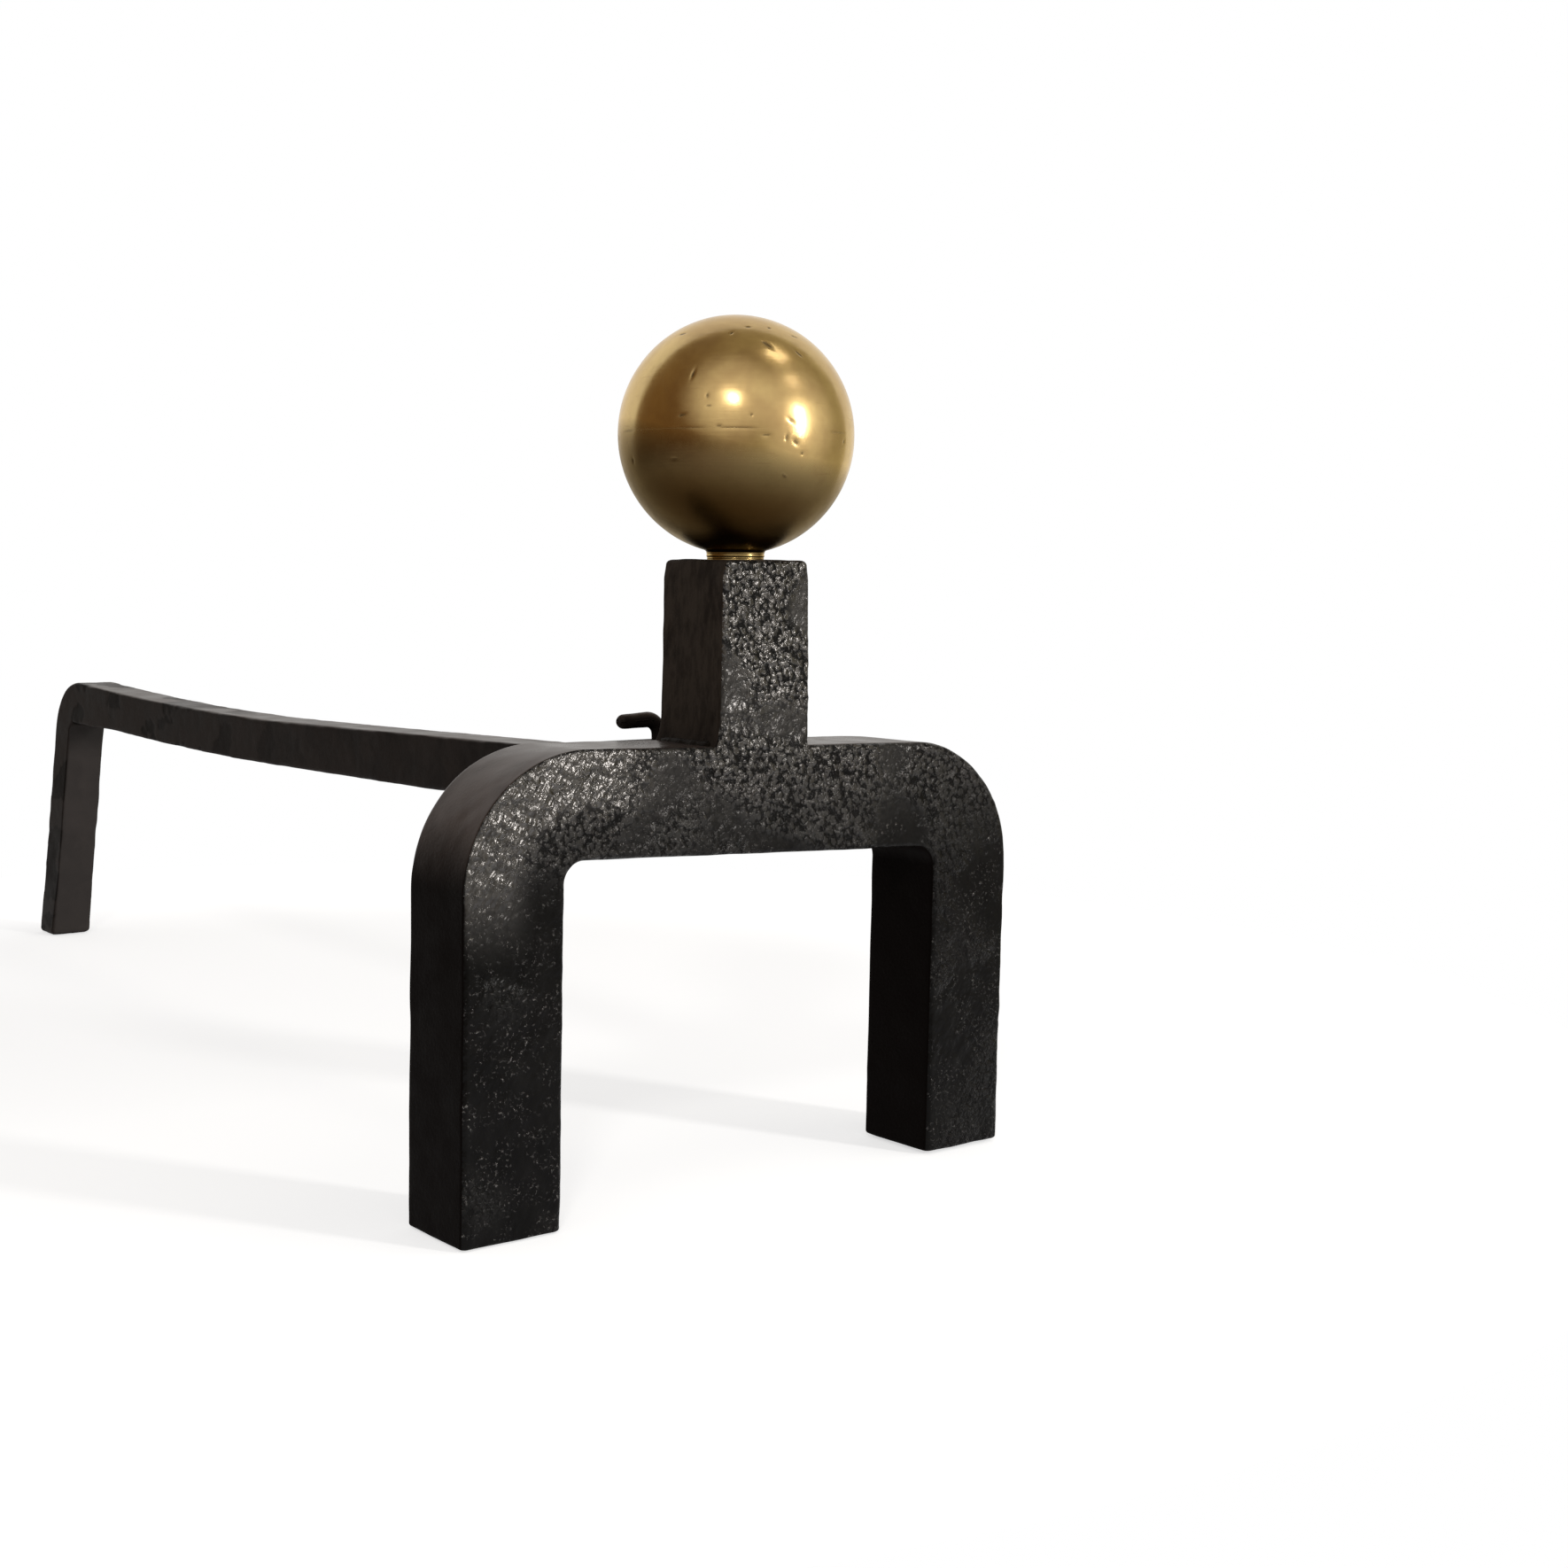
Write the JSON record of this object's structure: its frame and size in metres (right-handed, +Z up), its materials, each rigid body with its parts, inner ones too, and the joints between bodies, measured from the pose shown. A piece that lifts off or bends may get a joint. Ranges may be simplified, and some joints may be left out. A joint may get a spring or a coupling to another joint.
{
  "type": "andiron",
  "caption": "Andiron: forged square-bar arch on two legs, welded post with a screwed-on hollow brass ball, and a pinned log bar on a splayed rear leg.",
  "frame": {"origin": "on the floor, at the centre of the whole object's outline seen from above", "axes": "+Z up, the arch's front face looks towards -Y, and the log bar runs back along +Y"},
  "size_m": [0.245, 0.7416, 0.3183],
  "materials": {
    "blackened_iron": "hammered wrought iron, blackened and waxed",
    "worn_iron": "wrought iron with fire scale and flaked patches",
    "weld_metal": "dressed weld beads, blackened",
    "aged_brass": "satin aged brass with small dents and scratches",
    "stud_steel": "plain steel rod"
  },
  "bodies": {
    "root": {"arch": "blackened_iron", "post": "blackened_iron", "post_welds": "weld_metal", "stud": "stud_steel", "neck_washer": "aged_brass", "socket": "worn_iron", "socket_welds": "weld_metal", "log_bar": "worn_iron"},
    "ball": {"ball_lower": "aged_brass", "ball_upper": "aged_brass", "ball_bush": "aged_brass"},
    "pin": {"drop_pin": "worn_iron"}
  },
  "joints": [
    {"name": "ball_unscrew", "type": "hinge", "parent": "root", "child": "ball", "pos_m": [0, -0.32825, 0.2303], "axis": [0, 0, 1], "range_deg": [0, 3600]},
    {"name": "pin_lift", "type": "slide", "parent": "root", "child": "pin", "axis": [0, 0, 1], "range_m": [0, 0.04]}
  ]
}
